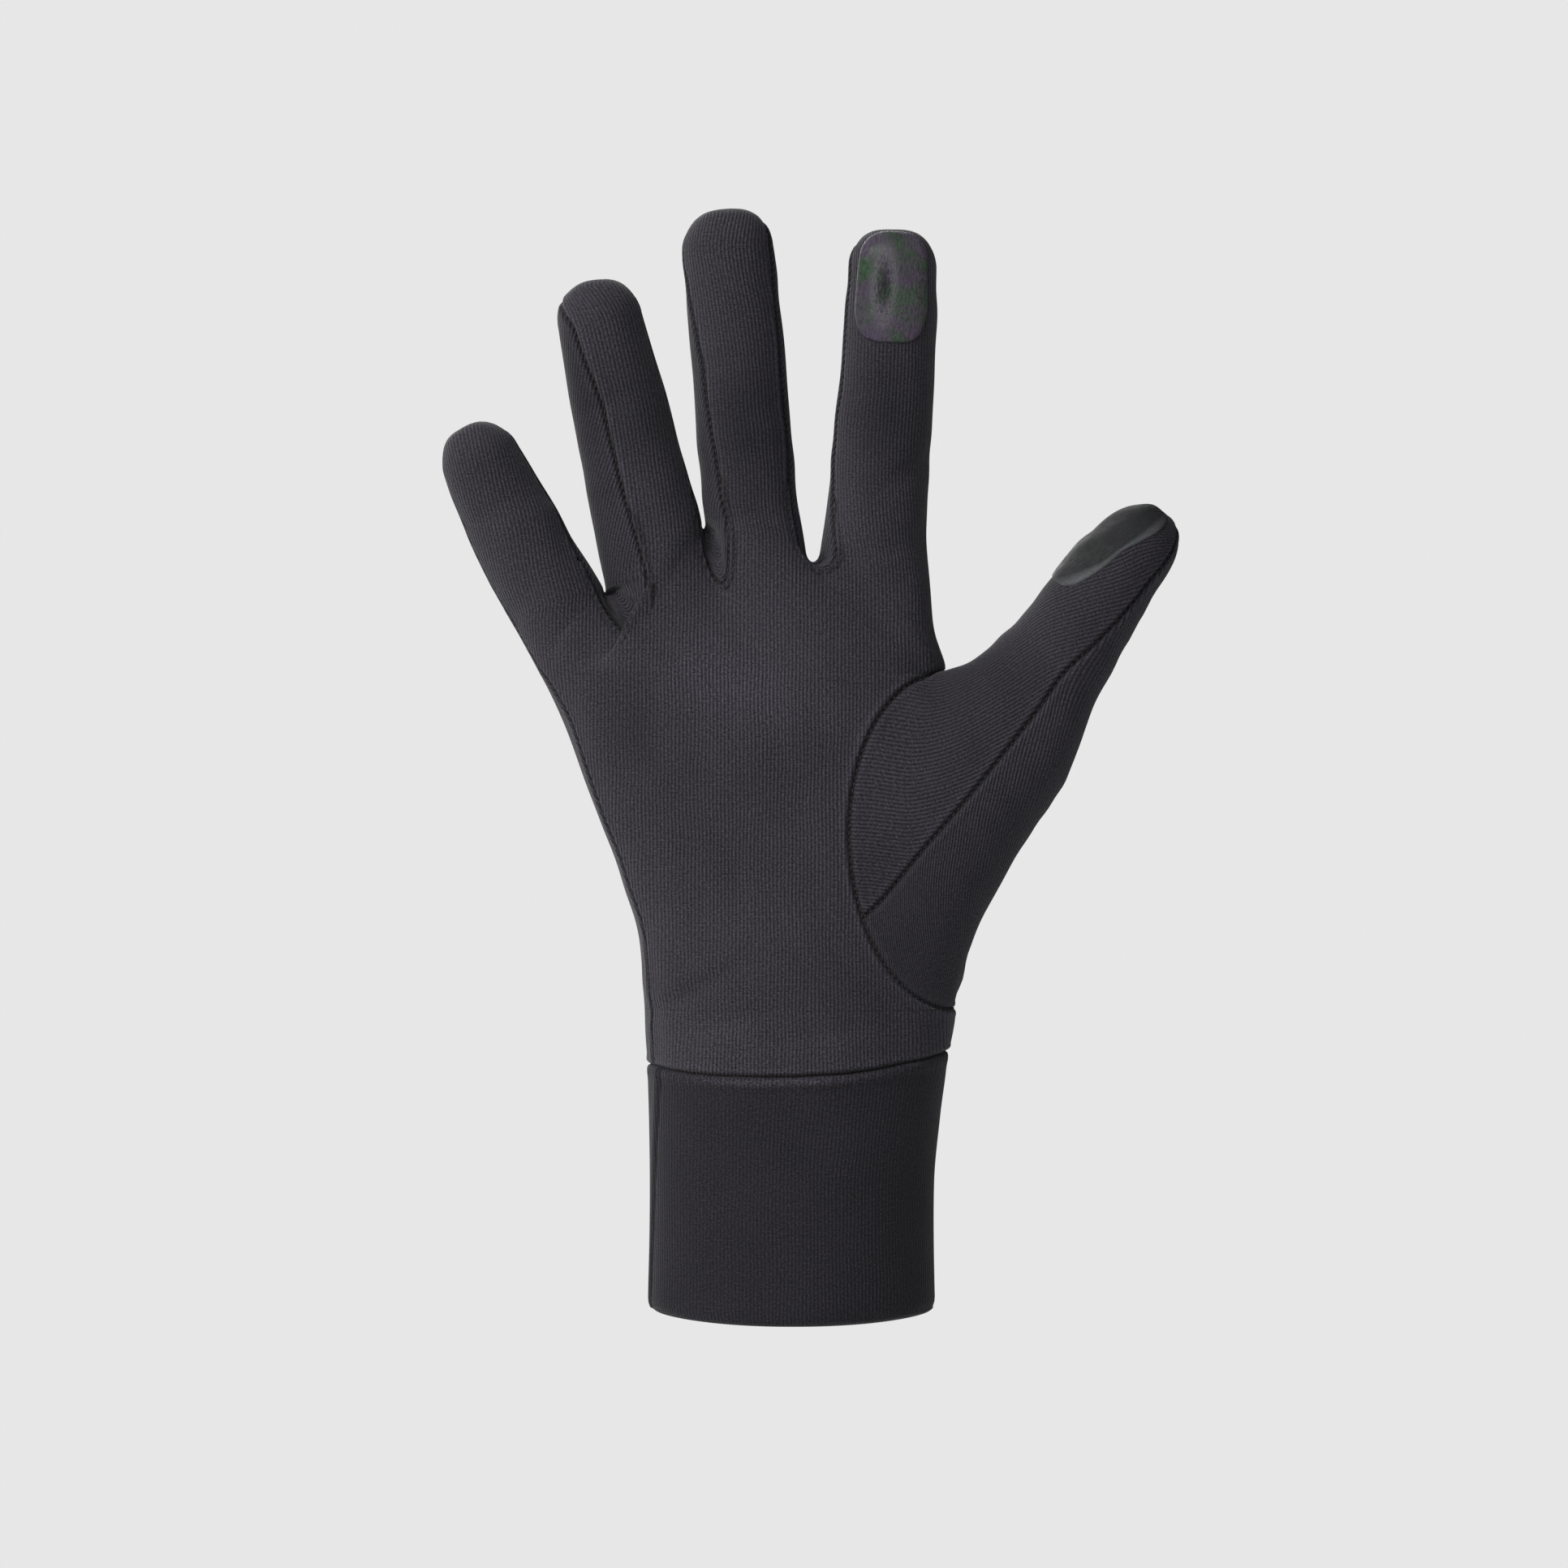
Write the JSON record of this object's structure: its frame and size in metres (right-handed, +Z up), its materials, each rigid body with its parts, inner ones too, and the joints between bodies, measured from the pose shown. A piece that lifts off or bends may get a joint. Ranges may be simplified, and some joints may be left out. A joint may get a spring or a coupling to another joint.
{
  "type": "knit running glove",
  "caption": "Thin right-hand running glove in black knit, with fingers, a sewn-in thumb, a plain band cuff and touchscreen films on the index finger and the thumb, in the form it has when worn.",
  "frame": {"origin": "centre of the cuff opening, where the hand goes in", "axes": "+Z up along the middle finger, -Y out of the palm, +X towards the thumb"},
  "size_m": [0.1575, 0.0426, 0.2381],
  "materials": {
    "knit_jersey": "matt fine-ribbed jersey with a faint sparkle",
    "knit_band": "matt fine-ribbed jersey, folded double",
    "touch_film": "thin satin film over the cloth, grey with green and purple tints"
  },
  "bodies": {
    "root": {"palm_panel": "knit_jersey", "back_panel": "knit_jersey", "thumb_sleeve": "knit_jersey", "fourchette_little_ring": "knit_jersey", "fourchette_ring_middle": "knit_jersey", "fourchette_middle_index": "knit_jersey", "cuff": "knit_band", "index_touch_patch": "touch_film", "thumb_touch_patch": "touch_film"}
  },
  "joints": []
}
